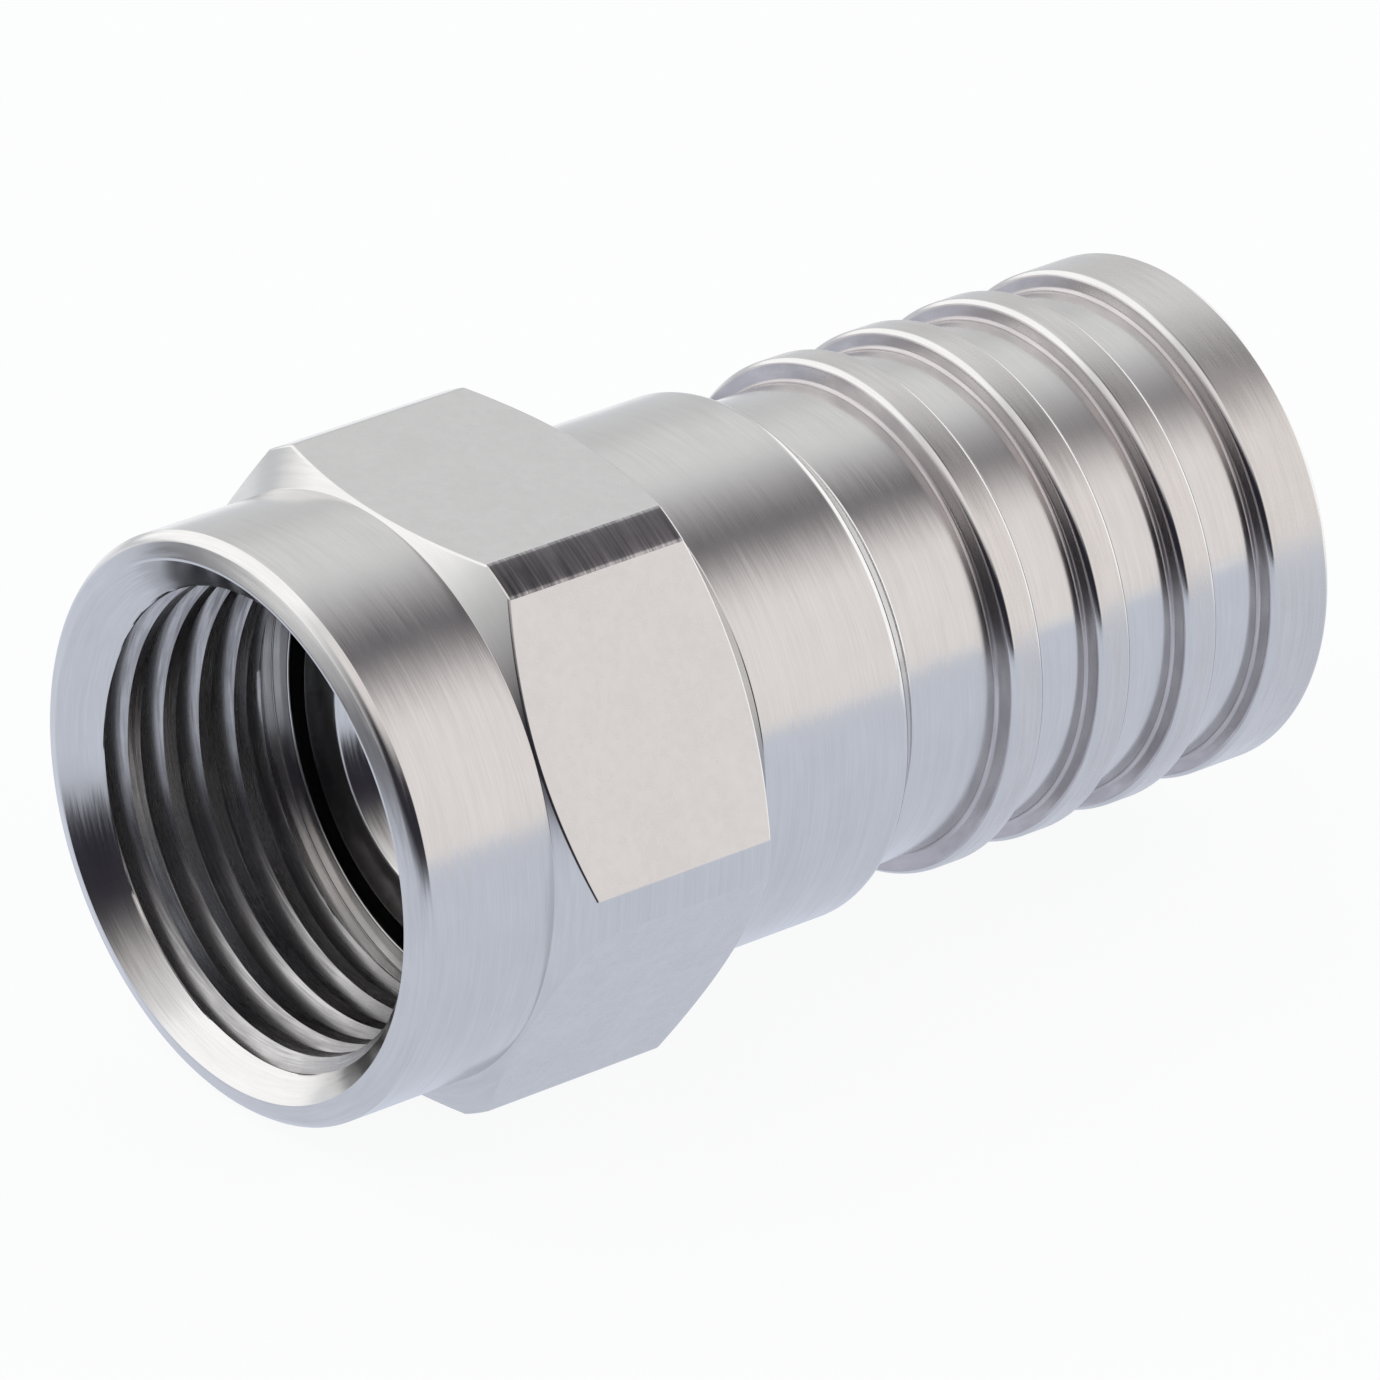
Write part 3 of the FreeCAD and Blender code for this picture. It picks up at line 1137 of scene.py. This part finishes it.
@dataclass(frozen=True)
class Studio:
    """A white light tent with an opening for the camera and a slot overhead, over a pale floor.

    Attributes:
        floor_height: Level of the floor, in metres.
        floor_radius: Reach of the floor, in metres.
        floor_colour: Colour of the floor.
        near_glow: What metal mirrors of the floor near the object.
        painted_front_shade: Painted shade that metal mirrors on the floor towards the camera's side.
        far_glow: Painted pool of light that metal mirrors on the floor behind the object, on its left.
        last_glow: What metal mirrors of the floor past that patch.
        wall_colour: Colour of the tent's walls.
        low_colour: Colour of the tent's wall low down at the back.
        warm_colour: Colour of the warmer panel on the right.
        opening_colour: What shows through the camera's opening.
        slot_colour: What shows through the slot overhead.
        lamp_level: Brightness of the large panel on the left.
        back_level: Brightness of the panel behind the cable end, and of the painted light on the floor
            behind the object.
        lamp_turn: Direction of the large panel, in degrees round from +X.
        lamp_side: Soft edge at the panel's sides. Each soft edge is a pair: where the light
            starts to change and where it has changed. This one is in cosines.
        lamp_low: Soft edge at the panel's foot, in heights.
        lamp_high: Soft edge at its top, in heights.
        opening_turn: Direction of the camera's opening, in degrees round from +X.
        opening_side: Soft edge at the opening's sides, in cosines.
        opening_high: Soft edge at its top, in heights.
        slot_left: Soft edge at the slot's left, in slants off the vertical.
        slot_right: Soft edge at its right, in slants.
        slot_near: Soft edge at its near end, in depths along Y.
        slot_far: Soft edge at its far end, in depths.
        slot_above: Soft edge at its foot, in heights.
        back_ahead: Soft edge around the back panel, in depths.
        back_above: Soft edge at its foot, in heights.
        floor_front: Soft edge of the painted shade on the floor's front, in metres along Y.
        floor_patch: Soft edge where the painted pool of light starts, in metres away.
        floor_last: Soft edge where the patch ends, in metres away.
        floor_behind: Soft edge of the painted light behind the object, in metres along Y.
        floor_aside: Soft edge at that brightness's sides, in slants off Y.
        camera_share: How far the floor is taken to white for the camera.
        mirror_share: How far the floor is taken to its glow where metal mirrors it.
    """

    floor_height: float = -0.0055
    floor_radius: float = 1.5
    floor_colour: Colour = (0.80, 0.84, 0.90)
    near_glow: Colour = (0.77, 0.82, 0.94)
    painted_front_shade: Colour = (0.10, 0.10, 0.12)
    far_glow: Colour = (1.12, 1.13, 1.15)
    last_glow: Colour = (0.75, 0.77, 0.80)
    wall_colour: Colour = (0.95, 0.95, 0.955)
    low_colour: Colour = (0.76, 0.765, 0.77)
    warm_colour: Colour = (1.09, 1.04, 1.02)
    opening_colour: Colour = (0.025, 0.023, 0.034)
    slot_colour: Colour = (0.135, 0.124, 0.142)
    lamp_level: float = 1.45
    back_level: float = 1.50
    lamp_turn: float = -155.0
    lamp_side: SoftEdge = (0.60, 0.84)
    lamp_low: SoftEdge = (-0.06, 0.12)
    lamp_high: SoftEdge = (0.99, 0.90)
    opening_turn: float = -45.0
    opening_side: SoftEdge = (0.48, 0.84)
    opening_high: SoftEdge = (0.78, 0.42)
    slot_left: SoftEdge = (-0.60, 0.16)
    slot_right: SoftEdge = (0.68, 0.10)
    slot_near: SoftEdge = (0.05, 0.25)
    slot_far: SoftEdge = (0.90, 0.54)
    slot_above: SoftEdge = (0.0, 0.3)
    back_ahead: SoftEdge = (0.74, 0.84)
    back_above: SoftEdge = (-0.10, 0.02)
    floor_front: SoftEdge = (-0.012, -0.060)
    floor_patch: SoftEdge = (0.018, 0.028)
    floor_last: SoftEdge = (0.036, 0.062)
    floor_behind: SoftEdge = (0.036, 0.050)
    floor_aside: SoftEdge = (0.50, 0.30)
    camera_share: float = 0.92
    mirror_share: float = 0.90

    def build(self) -> None:
        """Make the floor and the tent, and set the view transform."""
        self.lay_floor()
        self.light_tent()
        bpy.context.scene.view_settings.view_transform = "Standard"

    def lay_floor(self) -> None:
        """Lay a round floor under the object."""
        mesh = bmesh.new()
        bmesh.ops.create_circle(mesh, cap_ends=True, segments=96, radius=self.floor_radius)
        data = bpy.data.meshes.new("floor")
        mesh.to_mesh(data)
        mesh.free()
        data.transform(Matrix.Translation((0.0, 0.0, self.floor_height)))
        floor = bpy.data.objects.new("floor", data)
        bpy.context.scene.collection.objects.link(floor)
        data.materials.append(self.floor_material())

    def floor_material(self) -> bpy.types.Material:
        """Matt paper that the camera sees as near white, and that metal mirrors as a soft glow with
        painted shade and light.

        Returns:
            The floor's material.
        """
        made = bpy.data.materials.new("white_paper")
        made.use_nodes = True
        graph = NodeGraph(made.node_tree)
        rays = graph.add("LightPath")
        paper = graph.add("BsdfDiffuse")
        paper.inputs["Color"].default_value = (*self.floor_colour, 1.0)
        glow = graph.add("Emission")
        graph.feed(
            glow.inputs["Color"],
            graph.blend(rays.outputs["Is Camera Ray"], self.mirrored_floor(graph), WHITE),
        )
        by_mirror = graph.maths(
            "MAXIMUM", rays.outputs["Is Glossy Ray"], rays.outputs["Is Transmission Ray"]
        )
        by_camera = graph.product(rays.outputs["Is Camera Ray"], self.camera_share)
        share = graph.maths("ADD", by_camera, graph.product(by_mirror, self.mirror_share))
        mix = graph.add("MixShader")
        graph.feed(mix.inputs[0], share)
        graph.feed(mix.inputs[1], paper.outputs[0])
        graph.feed(mix.inputs[2], glow.outputs[0])
        graph.feed(graph.add("OutputMaterial").inputs["Surface"], mix.outputs[0])
        return made

    def mirrored_floor(self, graph: NodeGraph) -> Socket:
        """Colour of the floor in mirroring metal: painted shade in front, with painted pools of light
        behind.

        Args:
            graph: The floor's nodes.

        Returns:
            The colour's socket.
        """
        split = graph.add("SeparateXYZ")
        graph.feed(split.inputs[0], graph.add("TexCoord").outputs["Object"])
        x, y, _ = split.outputs
        away = graph.maths("ADD", graph.product(x, -0.6), graph.product(y, 0.8))
        # Painted shade on the floor's front, and painted pools of light behind the object.
        darkened = graph.step(y, *self.floor_front)
        front = graph.blend(darkened, self.near_glow, self.painted_front_shade)
        patch = graph.blend(graph.step(away, *self.floor_patch), front, self.far_glow)
        last = graph.blend(graph.step(away, *self.floor_last), patch, self.last_glow)
        aside = graph.maths("DIVIDE", graph.maths("ABSOLUTE", x), graph.maths("MAXIMUM", y, 0.001))
        behind = graph.product(graph.step(y, *self.floor_behind), graph.step(aside, *self.floor_aside))
        return graph.blend(behind, last, (self.back_level,) * 3)

    def light_tent(self) -> None:
        """Paint the tent's light by direction."""
        world = bpy.data.worlds.new("light_tent")
        bpy.context.scene.world = world
        world.use_nodes = True
        graph = NodeGraph(world.node_tree)
        split = graph.add("SeparateXYZ")
        graph.feed(split.inputs[0], graph.add("TexCoord").outputs["Generated"])
        x, y, z = split.outputs
        level = graph.length_of(x, y)
        tilt = graph.maths("DIVIDE", x, graph.length_of(x, z))
        back = graph.blend(graph.step(z, 0.25, 0.55), self.low_colour, self.wall_colour)
        walls = graph.blend(graph.step(x, -0.25, 0.25), back, self.warm_colour)
        lit = graph.blend(self.panel(graph, x, y, z, level), walls, (self.lamp_level,) * 3)
        slotted = graph.blend(self.slot(graph, tilt, y, z), lit, self.slot_colour)
        backed = graph.blend(self.back_panel(graph, y, z), slotted, (self.back_level,) * 3)
        tent = graph.blend(self.opening(graph, x, y, z, level), backed, self.opening_colour)
        rays = graph.add("LightPath")
        seen = graph.blend(rays.outputs["Is Camera Ray"], tent, WHITE)
        background = graph.add("Background")
        graph.feed(background.inputs["Color"], seen)
        background.inputs["Strength"].default_value = 1.0
        graph.feed(graph.add("OutputWorld").inputs["Surface"], background.outputs[0])

    def facing(
        self, graph: NodeGraph, x: object, y: object, level: object, azimuth: float
    ) -> Socket:
        """Cosine of the angle round the vertical from an azimuth.

        Args:
            graph: The world's nodes.
            x: Direction along X.
            y: Direction along Y.
            level: Length of the direction's level part.
            azimuth: The azimuth, in degrees from +X.

        Returns:
            The cosine's socket.
        """
        turn = math.radians(azimuth)
        along = graph.maths("ADD", graph.product(x, math.cos(turn)), graph.product(y, math.sin(turn)))
        return graph.maths("DIVIDE", along, graph.maths("MAXIMUM", level, 0.001))

    def panel(
        self, graph: NodeGraph, x: object, y: object, z: object, level: object
    ) -> Socket:
        """Mask of the large panel lamp on the left."""
        side = graph.step(self.facing(graph, x, y, level, self.lamp_turn), *self.lamp_side)
        low = graph.step(z, *self.lamp_low)
        high = graph.step(z, *self.lamp_high)
        return graph.product(side, low, high)

    def back_panel(self, graph: NodeGraph, y: object, z: object) -> Socket:
        """Mask of the panel behind the cable end."""
        return graph.product(graph.step(y, *self.back_ahead), graph.step(z, *self.back_above))

    def opening(
        self, graph: NodeGraph, x: object, y: object, z: object, level: object
    ) -> Socket:
        """Mask of the opening that the camera looks through."""
        side = graph.step(self.facing(graph, x, y, level, self.opening_turn), *self.opening_side)
        return graph.product(side, graph.step(z, *self.opening_high))

    def slot(self, graph: NodeGraph, tilt: object, y: object, z: object) -> Socket:
        """Mask of the slot overhead, towards the cable side."""
        left = graph.step(tilt, *self.slot_left)
        right = graph.step(tilt, *self.slot_right)
        near = graph.step(y, *self.slot_near)
        far = graph.step(y, *self.slot_far)
        above = graph.step(z, *self.slot_above)
        return graph.product(graph.product(left, right), graph.product(near, far), above)


def main() -> None:
    """Build the connector's pieces, the studio and the camera."""
    logging.basicConfig(level=logging.INFO, format="%(name)s: %(message)s")
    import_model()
    for part in (CouplingNut(), InnerPost(), CrimpSleeve()):
        piece = part.build()
        LOG.info("built %s", piece.name)
    Studio().build()
    Viewpoint().place()


if __name__ == "__main__":
    main()
